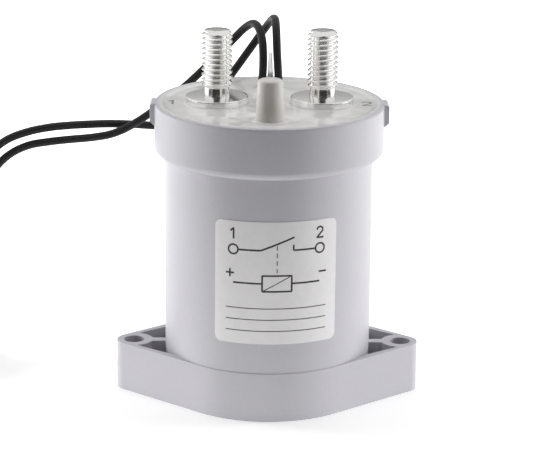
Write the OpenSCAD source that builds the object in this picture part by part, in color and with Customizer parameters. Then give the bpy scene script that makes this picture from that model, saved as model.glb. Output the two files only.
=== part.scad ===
// High voltage DC contactor with screw terminals, flying coil leads and a two-hole mounting flange.
// Millimetres, +Z up. The origin is at the middle of the flange's underside, X runs through the
// studs and the mounting holes, and the label faces -Y.

/* [Mounting flange] */
// distance between the two mounting holes
hole_pitch = 84.7; // [72:0.1:110]
// diameter of a mounting hole
hole_d = 6.4; // [4.5:0.1:9]
// wall around a hole at the very tip of the flange
tip_wall = 2.2; // [1.6:0.1:5]
// wall around a hole on the side of the pockets
boss_wall = 2.8; // [2:0.1:5]
// height of the flange
flange_h = 15.5; // [8:0.5:24]
// outer wall of a pocketed ear
ear_wall = 3; // [2:0.1:5]
// floor left under the pockets
ear_floor = 3; // [1.5:0.1:6]
// rib between the two pockets of an ear
rib_t = 3.2; // [2:0.1:5]
// how far the flange stands proud of the barrel at the front and the back
flange_step = 0.2; // [0.1:0.05:1]

/* [Barrel and collar] */
// outer diameter of the barrel
barrel_d = 64.7; // [60:0.1:70]
// wall of the barrel
barrel_wall = 2.4; // [1.6:0.1:3]
// floor of the cup
base_t = 3; // [2:0.1:6]
// height of the rim
rim_z = 93.5; // [92:0.5:110]
// outer diameter of the collar
collar_d = 71.5; // [70.5:0.1:80]
// height of the collar
collar_h = 16.1; // [14:0.1:17]
// wall of the collar
collar_wall = 2.6; // [1.8:0.1:3.2]
// rounding of the collar's lower edge
collar_round = 2.5; // [1:0.1:3]
// rounding of the rim's outer edge
rim_round = 0.6; // [0.2:0.1:1]
// seat of the header above the collar's lower edge
ledge_rise = 1.6; // [1.2:0.1:3]
// width of a side lug
lug_w = 8; // [4:0.5:14]
// how far a side lug stands out
lug_out = 1.3; // [0.5:0.1:3]
// height of a side lug
lug_h = 6.9; // [4:0.1:10]

/* [Terminals] */
// distance between the two studs
stud_pitch = 32.6; // [31:0.1:34]
// major diameter of the stud's thread, 3/8 in
stud_d = 9.525; // [8:0.005:12]
// height of a stud above its bus-bar seat
stud_h = 20.6; // [14:0.1:26]
// chamfer at the stud's tip
stud_chamfer = 0.9; // [0.3:0.1:1.5]
// diameter of the undercut below the thread
neck_d = 7.5; // [6:0.1:9]
// height of the undercut
neck_h = 2.7; // [1:0.1:4]
// diameter of the bus-bar seat
seat_d = 19.5; // [16:0.1:22]
// height of the bus-bar seat above the resin
seat_rise = 2.4; // [1:0.1:4]
// depth of the bus-bar seat in the resin
seat_deep = 2.6; // [1:0.1:4]
// diameter of the stub that passes the header
stub_d = 14; // [11:0.1:15]
// length of the stub below the header
stub_h = 2; // [1:0.1:4]

/* [Resin, header and fill tube] */
// thickness of the header
header_t = 5; // [3:0.1:6]
// drop of the resin's surface below the rim
resin_drop = 0.4; // [0.1:0.1:1.5]
// height of the resin's climb around a seat
climb_h = 0.7; // [0.2:0.1:1.2]
// width of the resin's climb around a seat
climb_w = 1.6; // [0.5:0.1:3]
// distance of the fill tube from the middle
tube_y = 22.7; // [21:0.1:23]
// outer diameter of the fill tube
tube_d = 3.2; // [2:0.1:4]
// wall of the fill tube
tube_wall = 0.6; // [0.3:0.1:1]
// diameter of the cap at the resin
cap_d = 8.9; // [7:0.1:11]
// diameter of the cap at its top
cap_top_d = 7.6; // [6:0.1:9]
// height of the cap above the resin
cap_h = 12.8; // [8:0.1:16]
// rounding of the cap's top edge
cap_round = 0.9; // [0.3:0.1:1.5]
// depth of the cap in the resin
cap_deep = 3; // [1:0.1:5]
// height of the lead guide pin above the resin
guide_h = 11.5; // [6:0.1:14]
// diameter of the guide pin in the resin
guide_d = 2.2; // [1.6:0.1:2.4]
// diameter of the guide pin at its tip
guide_tip_d = 1.1; // [0.8:0.1:1.6]

/* [Contacts and arc chamber] */
// gap between the open contacts
contact_gap = 2.2; // [1.5:0.1:3]
// travel of the plunger after the contacts meet
overtravel = 0.6; // [0.3:0.1:1]
// diameter of a contact button
button_d = 11; // [8:0.1:12]
// thickness of a contact button
button_t = 1.2; // [0.8:0.1:2]
// width of the contact bridge
bridge_w = 14; // [12:0.1:16]
// thickness of the contact bridge
bridge_t = 3.5; // [2.5:0.1:4.5]
// outer diameter of the arc chamber
chamber_d = 54.4; // [53:0.1:57]
// wall of the arc chamber
chamber_wall = 2.2; // [1.5:0.1:2.4]
// height of the arc chamber
chamber_h = 25.5; // [24:0.5:28]
// floor of the arc chamber
chamber_floor = 2.5; // [2:0.1:3.5]
// distance from the middle to the chamber's flat, behind which the leads pass
flat_y = 18.2; // [17.8:0.1:18.4]
// length of a blow-out magnet
magnet_l = 20; // [14:0.5:22]
// thickness of a blow-out magnet
magnet_t = 4; // [2.5:0.1:4.2]
// height of a blow-out magnet
magnet_h = 15; // [10:0.5:18]
// distance from the middle to a magnet's near face
magnet_y = 10.8; // [10:0.1:11]
// wall of a magnet's pocket
pocket_wall = 1.2; // [0.8:0.1:1.6]

/* [Drive] */
// wall of the yoke can
yoke_t = 2.5; // [1.5:0.1:3]
// thickness of the pole plate
pole_t = 4; // [3:0.1:5]
// diameter of the plunger
plunger_d = 19.5; // [16:0.1:22]
// diameter of the plunger's shaft
shaft_d = 5; // [4:0.1:6]
// length of the fixed core below the pole plate
core_h = 20; // [16:0.5:24]
// diameter of the core's flange
core_flange_d = 25; // [24:0.5:28]
// thickness of the core's flange
core_flange_t = 1.5; // [1:0.1:2]
// wall of the plunger cup
cup_t = 0.5; // [0.3:0.1:0.8]
// wall of the bobbin
bobbin_t = 1.4; // [1:0.1:2]
// room between the bobbin's cheeks and the yoke can
cheek_gap = 0.75; // [0.2:0.05:3]
// depth of the winding below the cheeks' edge
winding_low = 1.2; // [0.5:0.1:4]
// wire of the return spring
return_wire_d = 1.1; // [0.8:0.1:1.4]
// mean diameter of the return spring
return_d = 9.2; // [8.5:0.1:9.6]
// depth of the spring pocket in the plunger
pocket_low = 8; // [5:0.5:10]
// depth of the spring pocket in the core
pocket_high = 6; // [4:0.5:10]
// wire of the contact spring
press_wire_d = 1.2; // [0.8:0.1:1.4]
// mean diameter of the contact spring
press_d = 10.4; // [10:0.1:12]
// length of the contact spring
press_h = 7; // [6:0.1:8]
// outer diameter of the insulating bush's tube
bush_d = 7.8; // [7.2:0.1:8.4]
// thickness of the bush's spring seat
bush_seat_t = 1.5; // [1:0.1:2]
// thickness of the stop washer and of the retaining ring
washer_t = 1; // [0.8:0.1:1.2]

/* [Leads and label] */
// outer diameter of a coil lead
lead_d = 2.6; // [2:0.1:2.6]
// width of the label along the barrel
label_w = 39; // [20:0.5:48]
// height of the label
label_h = 38.8; // [20:0.1:48]
// lower edge of the label above the base
label_z = 25.2; // [17:0.1:34]
// turn of the label's middle from the front, in degrees
label_turn = 4.5; // [-20:0.5:20]
// thickness of the label
label_t = 0.15; // [0.1:0.05:0.3]
// corner radius of the label
label_round = 2.2; // [1:0.1:5]

/* [Hidden] */
$fn = 96;
// room between curved seats of one body, and between a rod and its guide
seat_gap = 0.05;
// room around pieces that are dropped in
drop_gap = 0.2;
// running room of the plunger in its cup
plunger_gap = 0.25;
// room left where two moving faces come to rest on each other
stop_gap = 0.05;
// what a cut runs past a face
past = 1;

// flange and cup
barrel_r = barrel_d / 2;
flange_r = barrel_r + flange_step;
ear_x = hole_pitch / 2;
ear_r = hole_d / 2 + tip_wall;
boss_r = hole_d / 2 + boss_wall;
bore_r = barrel_r - barrel_wall;
collar_r = collar_d / 2;
collar_z = rim_z - collar_h;
well_r = collar_r - collar_wall;
ledge_z = collar_z + ledge_rise;

// header, resin and terminals
header_z = ledge_z + header_t;
resin_z = rim_z - resin_drop;
seat_z = resin_z + seat_rise;
seat_low_z = resin_z - seat_deep;
thread_z = seat_z + neck_h;
stud_z = seat_z + stud_h;
stud_x = stud_pitch / 2;
thread_bevel = (stud_d - neck_d) / 2;
stub_z = ledge_z - stub_h;
cap_low_z = resin_z - cap_deep;
cap_z = resin_z + cap_h;
tube_z = cap_z - 2 * tube_wall - past;

// contacts, from the fixed ones down
fixed_face_z = stub_z - button_t;
bridge_z = fixed_face_z - contact_gap - button_t;
bridge_low_z = bridge_z - bridge_t;
bush_z = bridge_low_z - press_h;
bush_seat_r = (press_d + press_wire_d) / 2 + drop_gap;
ring_z = bridge_z + washer_t;
shaft_z = ring_z + 1.8 * washer_t;
groove_r = 0.4 * shaft_d;
stroke = contact_gap + overtravel;

// drive, from the base up
yoke_r = bore_r - drop_gap;
yoke_floor_z = base_t + yoke_t;
chamber_z = ledge_z - chamber_h;
pole_z = chamber_z - pole_t;
core_z = pole_z - core_h;
cup_r = plunger_d / 2 + plunger_gap;
cup_out_r = cup_r + cup_t;
core_r = cup_r - seat_gap;
plunger_low_z = base_t + cup_t + stop_gap;
plunger_z = core_z - stroke - stop_gap;
bobbin_r = cup_out_r + drop_gap;
bobbin_z = pole_z - cup_t;
winding_in_r = bobbin_r + bobbin_t;
winding_z = bobbin_z - bobbin_t;
cheek_r = yoke_r - yoke_t - cheek_gap;
cup_flange_r = winding_in_r + 2 * cup_t;
spring_room_r = (return_d + return_wire_d) / 2 + 2 * drop_gap;
shaft_low_z = plunger_low_z + washer_t;

// coil leads: where they leave the resin, and their free routes
lead_y = 20;
lead_x = [-2.4, 3];
guide_x = (lead_x[0] + lead_x[1]) / 2;
left_route = [
    [-2.4, 20, resin_z], [-2.15, 20, 97], [-1.97, 20, 101], [-2.03, 20.7, 105.1],
    [-2.3, 22.1, 108.1], [-2.9, 23.9, 110.3], [-3.8, 26.5, 111.75], [-5, 29.3, 112.05],
    [-6.5, 31.7, 111.1], [-8.2, 33.4, 109.5], [-9.9, 34.35, 107.6], [-11.85, 34.8, 105.45],
    [-16.65, 34.5, 100.45], [-21.8, 33.9, 95.3], [-27, 33.6, 90.4], [-32.85, 33.6, 85.55],
    [-38.75, 33.6, 81.05], [-43.55, 33.6, 77.8], [-47.45, 33.6, 75.6], [-51.35, 33.6, 74.1],
    [-55.25, 33.6, 73.3], [-59.2, 33.5, 72.8], [-65.2, 33.2, 72.3], [-71.2, 33, 71.6],
    [-78, 33, 70.3], [-84.2, 33, 67.2], [-89.2, 33, 62.1], [-92.3, 33, 55.4], [-93.5, 33, 47.5],
    [-93.5, 33, 38], [-93.5, 33, 28], [-93.5, 33, 20], [-93.5, 32.6, 15], [-93.5, 30.8, 9.8],
    [-93.5, 27.4, 6.3], [-93.5, 22.5, 4.8]
];
right_route = [
    [3, 20, resin_z], [2.9, 20, 97], [2.65, 20, 101], [2.42, 20.45, 104.6], [2.25, 21.7, 108.2],
    [2.13, 23.45, 110.75], [2, 25.6, 112.4], [1.85, 28.3, 113.4], [1.4, 31.4, 113.35],
    [0.6, 34.2, 112.2], [-0.35, 36.05, 110.6], [-1.35, 37.25, 108.9], [-3.25, 38.35, 106.05],
    [-6, 38.65, 102], [-8.9, 38.35, 97.9], [-11.8, 38.1, 93.8], [-15.05, 38.6, 89],
    [-19.05, 39.3, 83.45], [-23.9, 39.6, 79.05], [-29.7, 39.5, 76.55], [-36.2, 38.9, 75.85],
    [-43.9, 38.2, 76.35], [-51.7, 37.2, 76.75], [-59.4, 35.9, 76.75], [-65.2, 34.7, 76.65],
    [-71, 33.7, 76.25], [-78, 33.2, 74.85], [-85, 33, 72.1], [-91, 33, 67], [-94.8, 33, 60],
    [-96.3, 33, 51.5], [-96.3, 33, 42], [-96.3, 33, 31], [-96.3, 33, 20], [-96.3, 32.6, 15],
    [-96.3, 30.8, 9.8], [-96.3, 27.4, 6.3], [-96.3, 22.5, 4.8]
];
// stored turns of both leads, side by side in two layers, lifted by the tie under them
wound_at = [-109.9, 22.5];
wound_r = [13.6, 16.4];
wound_layer = 2.7;
tie_t = 0.8;
tie_w = 3;
tie_head = 4.5;
lead_sides = 8;

grey_plastic = [0.76, 0.76, 0.79];
pale_plastic = [0.74, 0.73, 0.70];
resin_grey = [0.70, 0.70, 0.70];
plated = [0.86, 0.86, 0.85];
copper = [0.80, 0.47, 0.30];
silver = [0.90, 0.90, 0.88];
iron = [0.55, 0.56, 0.58];
black_pvc = [0.08, 0.08, 0.09];
dark_plastic = [0.20, 0.20, 0.22];

// Sweeping a round section along a list of points

function unit(v) = v / norm(v);

// direction of a path at one of its points
function along(path, i) = unit(path[min(i + 1, len(path) - 1)] - path[max(i - 1, 0)]);

// a direction across the path, carried on from the ring before it
function across(n, t) = unit(n - (n * t) * t);

function carried(path, n0) = [
    for (
        i = 0, n = across(n0, along(path, 0));
        i < len(path);
        i = i + 1, n = across(n, along(path, min(i, len(path) - 1)))
    ) n
];

function ring_points(c, t, n, r, sides) = [
    for (k = [0:sides - 1])
        let (a = 360 * (k + 0.5) / sides)
            c + r * (cos(a) * n + sin(a) * cross(t, n))
];

module swept(path, r, sides, n0) {
    n = carried(path, n0);
    last = len(path) - 1;
    points = [for (i = [0:last]) each ring_points(path[i], along(path, i), n[i], r, sides)];
    walls = [
        for (i = [0:last - 1], k = [0:sides - 1])
            let (a = i * sides + k, b = i * sides + (k + 1) % sides)
                each [[a, a + sides, b + sides], [a, b + sides, b]]
    ];
    start = [[for (k = [0:sides - 1]) k]];
    end = [[for (k = [sides - 1:-1:0]) last * sides + k]];
    polyhedron(points = points, faces = concat(walls, start, end), convexity = 8);
}

// a compression spring with a closed turn at each end
function spring_rise(u, turns, wire, h) =
    u < 1 ? wire / 2 + u * wire
    : u > turns - 1 ? h - wire / 2 - (turns - u) * wire
    : 1.5 * wire + (u - 1) / (turns - 2) * (h - 3 * wire);

module spring(mean_d, wire, h, turns) {
    steps = 16;
    path = [
        for (i = [0:turns * steps])
            let (u = i / steps)
                [
                    mean_d / 2 * cos(360 * u),
                    mean_d / 2 * sin(360 * u),
                    spring_rise(u, turns, wire, h)
                ]
    ];
    swept(path, wire / 2, 6, [0, 0, 1]);
}

// Shapes that repeat

module both_sides() {
    for (side = [-1, 1])
        scale_x(side) children();
}

module scale_x(side) {
    if (side < 0)
        mirror([1, 0, 0]) children();
    else
        children();
}

module ring(r_out, r_in, h) {
    difference() {
        cylinder(r = r_out, h = h);
        translate([0, 0, -past])
            cylinder(r = r_in, h = h + 2 * past);
    }
}

// the flange's plan: a round middle and two round tips, joined by tangents
module diamond(mid_r, tip_r) {
    turn = acos((mid_r - tip_r) / ear_x);
    circle(r = mid_r);
    both_sides() {
        translate([ear_x, 0])
            circle(r = tip_r);
        polygon([
            mid_r * [cos(turn), sin(turn)],
            [0, 0],
            mid_r * [cos(turn), -sin(turn)],
            [ear_x, 0] + tip_r * [cos(turn), -sin(turn)],
            [ear_x, 0] + tip_r * [cos(turn), sin(turn)]
        ]);
    }
}

// a corner of a profile, rounded towards +X and up or down
module round_corner(r, up) {
    intersection() {
        circle(r = r);
        translate([0, up ? 0 : -r])
            square(r);
    }
}

module lead_places() {
    for (x = lead_x)
        translate([x, lead_y, 0])
            children();
}

module wound_place() {
    translate([wound_at[0], wound_at[1], 0])
        children();
}

// Housing

module ear_pockets() {
    translate([0, 0, ear_floor])
        linear_extrude(flange_h)
            difference() {
                diamond(flange_r - ear_wall, ear_r - ear_wall / 2);
                circle(r = barrel_r - barrel_wall / 2);
                both_sides()
                    translate([ear_x, 0])
                        circle(r = boss_r);
                both_sides()
                    translate([barrel_r - barrel_wall, -rib_t / 2])
                        square([hole_pitch, rib_t]);
                both_sides()
                    translate([ear_x, -2 * ear_r])
                        square([4 * ear_r, 4 * ear_r]);
            }
}

module flange() {
    difference() {
        linear_extrude(flange_h)
            diamond(flange_r, ear_r);
        ear_pockets();
    }
}

module shell_profile() {
    square([barrel_r, rim_z - rim_round]);
    translate([0, collar_z + collar_round])
        square([collar_r, collar_h - collar_round - rim_round]);
    translate([0, collar_z])
        square([collar_r - collar_round, collar_h]);
    translate([collar_r - collar_round, collar_z + collar_round])
        round_corner(collar_round, false);
    translate([0, rim_z - rim_round])
        square([collar_r - rim_round, rim_round]);
    translate([collar_r - rim_round, rim_z - rim_round])
        round_corner(rim_round, true);
}

module cavity_profile() {
    translate([0, base_t])
        square([bore_r, rim_z]);
    translate([0, ledge_z])
        square([well_r, rim_z]);
}

module side_lug() {
    translate([0, lug_w / 2, 0])
        rotate([90, 0, 0])
            linear_extrude(lug_w)
                polygon([
                    [collar_r - collar_wall / 2, rim_z - lug_h],
                    [collar_r, rim_z - lug_h],
                    [collar_r + lug_out, rim_z - lug_h + lug_out],
                    [collar_r + lug_out, rim_z - rim_round],
                    [collar_r + lug_out - rim_round, rim_z],
                    [collar_r - collar_wall / 2, rim_z]
                ]);
}

module housing() {
    color(grey_plastic)
        difference() {
            union() {
                flange();
                rotate_extrude()
                    shell_profile();
                both_sides()
                    side_lug();
            }
            rotate_extrude()
                cavity_profile();
            both_sides()
                translate([ear_x, 0, -past])
                    cylinder(d = hole_d, h = flange_h + 2 * past);
        }
}

// Top: header, resin, terminals and fill tube

module guide_pin(r_more) {
    translate([guide_x, lead_y, header_z - past]) {
        cylinder(r = guide_d / 2 + r_more, h = resin_z - header_z + past);
    }
    translate([guide_x, lead_y, resin_z])
        cylinder(r1 = guide_d / 2 + r_more, r2 = guide_tip_d / 2 + r_more, h = guide_h);
}

module header_plate() {
    color(pale_plastic) {
        difference() {
            translate([0, 0, ledge_z])
                cylinder(r = well_r - seat_gap, h = header_t);
            both_sides()
                translate([stud_x, 0, ledge_z - past])
                    cylinder(r = stub_d / 2 + seat_gap, h = header_t + 2 * past);
            translate([0, -tube_y, ledge_z - past])
                cylinder(r = tube_d / 2 + seat_gap, h = header_t + 2 * past);
            translate([0, 0, ledge_z - past])
                lead_places()
                    cylinder(r = lead_d / 2 + seat_gap, h = header_t + 2 * past);
        }
        guide_pin(0);
    }
}

module potting() {
    color(resin_grey)
        difference() {
            union() {
                translate([0, 0, header_z])
                    cylinder(r = well_r - seat_gap, h = resin_z - header_z);
                both_sides()
                    translate([stud_x, 0, resin_z])
                        cylinder(r1 = seat_d / 2 + climb_w, r2 = seat_d / 2 + seat_gap, h = climb_h);
            }
            both_sides()
                translate([stud_x, 0, 0]) {
                    translate([0, 0, ledge_z])
                        cylinder(r = stub_d / 2 + seat_gap, h = rim_z);
                    translate([0, 0, seat_low_z])
                        cylinder(r = seat_d / 2 + seat_gap, h = rim_z);
                }
            translate([0, -tube_y, 0]) {
                translate([0, 0, ledge_z])
                    cylinder(r = tube_d / 2 + seat_gap, h = rim_z);
                translate([0, 0, cap_low_z])
                    cylinder(r = cap_d / 2 + seat_gap, h = rim_z);
            }
            translate([0, 0, ledge_z])
                lead_places()
                    cylinder(r = lead_d / 2 + seat_gap, h = rim_z);
            guide_pin(seat_gap);
        }
}

module terminal() {
    color(plated)
        rotate_extrude()
            polygon([
                [0, stub_z],
                [stub_d / 2, stub_z],
                [stub_d / 2, seat_low_z],
                [seat_d / 2, seat_low_z],
                [seat_d / 2, seat_z],
                [neck_d / 2, seat_z],
                [neck_d / 2, thread_z - thread_bevel],
                [stud_d / 2, thread_z],
                [stud_d / 2, stud_z - stud_chamfer],
                [stud_d / 2 - stud_chamfer, stud_z],
                [0, stud_z]
            ]);
}

module terminal_left() {
    translate([-stud_x, 0, 0])
        terminal();
}

module terminal_right() {
    translate([stud_x, 0, 0])
        terminal();
}

module fill_tube() {
    color(copper)
        translate([0, -tube_y, 0])
            difference() {
                translate([0, 0, ledge_z])
                    cylinder(d = tube_d, h = tube_z - ledge_z);
                translate([0, 0, ledge_z - past])
                    cylinder(r = tube_d / 2 - tube_wall, h = tube_z - ledge_z - 2 * past);
            }
}

module fill_tube_cap() {
    shoulder_z = cap_z - cap_round;
    shoulder_r = cap_top_d / 2;
    color(pale_plastic)
        translate([0, -tube_y, 0])
            rotate_extrude()
                difference() {
                    union() {
                        polygon([
                            [0, cap_low_z],
                            [cap_d / 2, cap_low_z],
                            [cap_d / 2, resin_z],
                            [shoulder_r, shoulder_z],
                            [0, shoulder_z]
                        ]);
                        translate([0, shoulder_z])
                            square([shoulder_r - cap_round, cap_round]);
                        translate([shoulder_r - cap_round, shoulder_z])
                            round_corner(cap_round, true);
                    }
                    translate([0, cap_low_z - past])
                        square([tube_d / 2 + seat_gap, tube_z + drop_gap - cap_low_z + past]);
                }
}

// Contacts and arc chamber

module contact_tip() {
    color(silver)
        translate([0, 0, fixed_face_z])
            cylinder(d = button_d, h = button_t);
}

module contact_tip_left() {
    translate([-stud_x, 0, 0])
        contact_tip();
}

module contact_tip_right() {
    translate([stud_x, 0, 0])
        contact_tip();
}

module moving_contact() {
    color(copper)
        translate([0, 0, bridge_low_z])
            linear_extrude(bridge_t)
                difference() {
                    intersection() {
                        square([stud_pitch + 2 * bridge_w, bridge_w], center = true);
                        circle(r = stud_x + bridge_w / 2);
                    }
                    circle(r = bush_d / 2 + 2 * seat_gap);
                }
}

module moving_tips() {
    color(silver)
        both_sides()
            translate([stud_x, 0, bridge_z])
                cylinder(d = button_d, h = button_t);
}

module flat_round(r, y) {
    difference() {
        circle(r = r);
        translate([-r, y])
            square(2 * r);
    }
}

module magnet_box(y, more, h) {
    translate([-magnet_l / 2 - more, y - more, chamber_z + chamber_floor])
        cube([magnet_l + 2 * more, magnet_t + 2 * more, h]);
}

module arc_chamber() {
    rear_y = magnet_y;
    front_y = -magnet_y - magnet_t;
    color(dark_plastic)
        difference() {
            union() {
                difference() {
                    translate([0, 0, chamber_z])
                        linear_extrude(chamber_h)
                            flat_round(chamber_d / 2, flat_y);
                    translate([0, 0, chamber_z + chamber_floor])
                        linear_extrude(ledge_z)
                            flat_round(chamber_d / 2 - chamber_wall, flat_y - chamber_wall);
                }
                for (y = [front_y, rear_y])
                    magnet_box(y, pocket_wall, magnet_h - pocket_wall);
            }
            for (y = [front_y, rear_y])
                magnet_box(y, drop_gap / 2, magnet_h + past);
            translate([0, 0, chamber_z - past])
                cylinder(r = core_flange_d / 2 + drop_gap, h = chamber_floor + magnet_h);
        }
}

module front_magnet() {
    color(iron)
        magnet_box(-magnet_y - magnet_t, 0, magnet_h);
}

module rear_magnet() {
    color(iron)
        magnet_box(magnet_y, 0, magnet_h);
}

// Drive

module yoke_can() {
    color(iron)
        translate([0, 0, base_t])
            difference() {
                cylinder(r = yoke_r, h = pole_z - base_t);
                translate([0, 0, yoke_t])
                    cylinder(r = yoke_r - yoke_t, h = pole_z);
                translate([0, 0, -past])
                    cylinder(r = cup_out_r + drop_gap, h = yoke_t + 2 * past);
            }
}

module pole_plate() {
    color(iron)
        difference() {
            translate([0, 0, pole_z])
                cylinder(r = yoke_r, h = pole_t);
            translate([0, 0, pole_z - past])
                cylinder(r = core_r + seat_gap, h = pole_t + 2 * past);
            translate([0, 0, pole_z - past])
                lead_places()
                    cylinder(r = lead_d / 2 + drop_gap, h = pole_t + 2 * past);
        }
}

module fixed_core() {
    color(iron)
        difference() {
            union() {
                translate([0, 0, core_z])
                    cylinder(r = core_r, h = chamber_z - core_z);
                translate([0, 0, chamber_z])
                    cylinder(d = core_flange_d, h = core_flange_t);
            }
            translate([0, 0, core_z - past])
                cylinder(r = shaft_d / 2 + 2 * seat_gap, h = core_h + pole_t + core_flange_t + 2 * past);
            translate([0, 0, core_z - past])
                cylinder(r = spring_room_r, h = pocket_high + past);
        }
}

module coil_bobbin() {
    color(dark_plastic)
        difference() {
            union() {
                translate([0, 0, yoke_floor_z])
                    cylinder(r = winding_in_r, h = bobbin_z - yoke_floor_z);
                for (z = [yoke_floor_z, bobbin_z - bobbin_t])
                    translate([0, 0, z])
                        cylinder(r = cheek_r, h = bobbin_t);
            }
            translate([0, 0, yoke_floor_z - past])
                cylinder(r = bobbin_r, h = pole_z);
            translate([0, 0, winding_z - past])
                lead_places()
                    cylinder(r = lead_d / 2 + seat_gap, h = bobbin_t + 2 * past);
        }
}

module coil_winding() {
    color(copper)
        translate([0, 0, yoke_floor_z + bobbin_t])
            ring(cheek_r - winding_low, winding_in_r + seat_gap, winding_z - yoke_floor_z - bobbin_t);
}

module plunger_cup() {
    color(plated)
        difference() {
            union() {
                translate([0, 0, base_t])
                    cylinder(r = cup_out_r, h = pole_z - base_t);
                translate([0, 0, pole_z - cup_t])
                    cylinder(r = cup_flange_r, h = cup_t);
            }
            translate([0, 0, base_t + cup_t])
                cylinder(r = cup_r, h = pole_z);
        }
}

module plunger() {
    color(iron)
        difference() {
            translate([0, 0, plunger_low_z])
                cylinder(d = plunger_d, h = plunger_z - plunger_low_z);
            translate([0, 0, shaft_low_z])
                cylinder(r = shaft_d / 2 + seat_gap, h = pole_z);
            translate([0, 0, plunger_z - pocket_low])
                cylinder(r = spring_room_r, h = pocket_low + past);
        }
}

module plunger_shaft() {
    color(plated)
        difference() {
            translate([0, 0, shaft_low_z])
                cylinder(d = shaft_d, h = shaft_z - shaft_low_z);
            translate([0, 0, ring_z])
                ring(shaft_d, groove_r, washer_t);
        }
}

module return_spring() {
    color(plated)
        translate([0, 0, plunger_z - pocket_low])
            spring(return_d, return_wire_d, core_z + pocket_high - plunger_z + pocket_low, 7);
}

module insulating_bush() {
    color(dark_plastic)
        difference() {
            union() {
                translate([0, 0, bush_z - bush_seat_t])
                    cylinder(r = bush_seat_r, h = bush_seat_t);
                translate([0, 0, bush_z - bush_seat_t])
                    cylinder(d = bush_d, h = bridge_z - bush_z + bush_seat_t);
            }
            translate([0, 0, bush_z - bush_seat_t - past])
                cylinder(r = shaft_d / 2 + seat_gap, h = bridge_z - bush_z + bush_seat_t + 2 * past);
        }
}

module contact_spring() {
    color(plated)
        translate([0, 0, bush_z])
            spring(press_d, press_wire_d, press_h, 5);
}

module stop_washer() {
    color(dark_plastic)
        translate([0, 0, bridge_z])
            ring(bush_seat_r, shaft_d / 2 + seat_gap, washer_t);
}

module retaining_ring() {
    color(plated)
        translate([0, 0, ring_z])
            difference() {
                ring(0.9 * shaft_d, groove_r + seat_gap, washer_t);
                translate([0, -groove_r, -past])
                    cube([shaft_d, 2 * groove_r, washer_t + 2 * past]);
            }
}

// Leads and label

module lead_tails() {
    color(black_pvc)
        translate([0, 0, winding_z])
            lead_places()
                cylinder(d = lead_d, h = resin_z - winding_z);
}

module lead_left() {
    color(black_pvc)
        swept(left_route, lead_d / 2, lead_sides, [1, 0, 0]);
}

module lead_right() {
    color(black_pvc)
        swept(right_route, lead_d / 2, lead_sides, [1, 0, 0]);
}

module lead_coil() {
    low = wound_r[0] - lead_d / 2;
    high = wound_r[1] + lead_d / 2;
    color(black_pvc)
        wound_place()
            translate([0, 0, tie_t])
                rotate_extrude()
                    translate([low, 0])
                        square([high - low, wound_layer + lead_d]);
}

module coil_tie() {
    inside = [wound_r[1] - wound_r[0] + lead_d + 2 * drop_gap, tie_w + 2 * past, wound_layer + lead_d];
    outside = [inside[0] + 2 * tie_t, tie_w, inside[2] + 2 * tie_t];
    mid_r = (wound_r[0] + wound_r[1]) / 2;
    color(black_pvc)
        wound_place()
            translate([-mid_r, 0, tie_t + inside[2] / 2]) {
                difference() {
                    cube(outside, center = true);
                    cube(inside, center = true);
                }
                translate([0, 0, outside[2] / 2 + tie_t / 2])
                    cube([tie_head, tie_head, tie_t], center = true);
            }
}

// a plate with four rounded corners, about the origin
module rounded_plate(w, h, r) {
    square([w, h - 2 * r], center = true);
    square([w - 2 * r, h], center = true);
    both_sides()
        for (up = [-1, 1])
            translate([w / 2 - r, up * (h / 2 - r)])
                round_corner(r, up > 0);
}

module label() {
    half_turn = label_w / 2 / barrel_r * 180 / PI;
    skin_r = barrel_r + seat_gap / 5;
    color([0.95, 0.95, 0.95])
        rotate([0, 0, label_turn])
            intersection() {
                translate([0, 0, label_z - past])
                    ring(skin_r + label_t, skin_r, label_h + 2 * past);
                translate([0, 0, label_z + label_h / 2])
                    rotate([90, 0, 0])
                        linear_extrude(barrel_d)
                            rounded_plate(2 * skin_r * sin(half_turn), label_h, label_round);
            }
}

housing();
header_plate();
potting();
terminal_left();
terminal_right();
contact_tip_left();
contact_tip_right();
arc_chamber();
front_magnet();
rear_magnet();
pole_plate();
yoke_can();
fixed_core();
coil_bobbin();
coil_winding();
plunger_cup();
plunger();
plunger_shaft();
insulating_bush();
contact_spring();
moving_contact();
moving_tips();
stop_washer();
retaining_ring();
return_spring();
fill_tube();
fill_tube_cap();
lead_tails();
lead_left();
lead_right();
lead_coil();
coil_tie();
label();
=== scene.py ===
"""Looks of a sealed high voltage DC contactor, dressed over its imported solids.

The frame is the part's own: metres, +Z up, the base on z = 0, the studs along X and the label
facing -Y. Sizes in this file are millimetres, and become metres once, when a mesh is made.
"""

import logging
import math
from dataclasses import dataclass, field, replace
from enum import Enum

import bmesh
import bpy
import numpy as np
from mathutils import Matrix


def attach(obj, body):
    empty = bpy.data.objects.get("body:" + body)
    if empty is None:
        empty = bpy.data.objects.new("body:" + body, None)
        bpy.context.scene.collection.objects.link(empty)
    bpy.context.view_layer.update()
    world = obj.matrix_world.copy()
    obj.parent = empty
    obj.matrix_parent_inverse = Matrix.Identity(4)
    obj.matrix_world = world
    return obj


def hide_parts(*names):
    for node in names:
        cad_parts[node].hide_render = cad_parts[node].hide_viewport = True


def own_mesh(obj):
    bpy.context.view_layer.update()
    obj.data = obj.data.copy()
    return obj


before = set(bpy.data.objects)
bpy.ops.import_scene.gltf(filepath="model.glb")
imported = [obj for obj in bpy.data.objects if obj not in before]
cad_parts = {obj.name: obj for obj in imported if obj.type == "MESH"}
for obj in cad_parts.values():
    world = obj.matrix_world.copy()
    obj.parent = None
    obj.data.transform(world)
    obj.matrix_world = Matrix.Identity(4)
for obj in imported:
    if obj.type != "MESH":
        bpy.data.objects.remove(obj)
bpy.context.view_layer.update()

MM = 0.001
BODY = "contactor"
IMAGE_W = 540
SENSOR_W = 36.0
FULL_TURN = 2 * math.pi
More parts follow.
